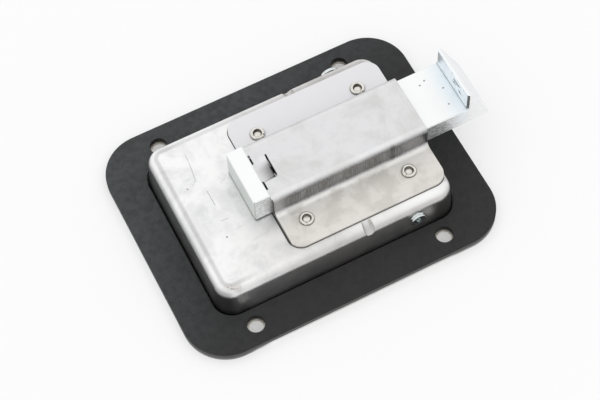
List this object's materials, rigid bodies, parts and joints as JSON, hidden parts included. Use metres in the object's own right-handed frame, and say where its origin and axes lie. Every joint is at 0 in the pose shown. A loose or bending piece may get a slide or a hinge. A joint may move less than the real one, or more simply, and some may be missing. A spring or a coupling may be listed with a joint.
{
  "type": "paddle handle latch",
  "caption": "Flush paddle handle latch: drawn stainless pan with gasketed flange, riveted hat-shaped cover and a sprung slide bolt with a bevelled nose, drawn back by the paddle.",
  "frame": {"origin": "centre of the mounting holes, on the front face of the flange", "axes": "+X along the slide bolt towards its nose, +Z from the front face towards the inside of the door"},
  "size_m": [0.1309, 0.0952, 0.035],
  "materials": {
    "stainless_sheet": "satin",
    "rivet_steel": "satin",
    "zinc_plate": "bright zinc plating",
    "spring_wire": "drawn wire",
    "gasket_rubber": "matt"
  },
  "bodies": {
    "housing": {"pan": "stainless_sheet", "gasket": "gasket_rubber", "bolt_cover": "stainless_sheet", "cover_rivets": "rivet_steel", "pivot_pin": "zinc_plate", "bolt_spring_near": "spring_wire", "bolt_spring_far": "spring_wire", "paddle_spring": "spring_wire"},
    "paddle": {"paddle": "stainless_sheet", "pull_lever": "stainless_sheet"},
    "bolt": {"slide_bolt": "zinc_plate"}
  },
  "joints": [
    {"name": "paddle_pivot", "type": "hinge", "parent": "housing", "child": "paddle", "pos_m": [0.0297, 0, 0.0107], "axis": [0, -1, 0], "range_deg": [0, 46], "stiffness_Nm_per_rad": 0.15, "springref_deg": -65.89, "deforming": ["paddle_spring"]},
    {"name": "bolt_slide", "type": "slide", "parent": "housing", "child": "bolt", "axis": [-1, 0, 0], "range_m": [0, 0.009], "deforming": ["bolt_spring_near", "bolt_spring_far"]}
  ],
  "couplings": [
    {"joint": "bolt_slide", "follows": "paddle_pivot", "m_per_rad": 0.011193}
  ]
}
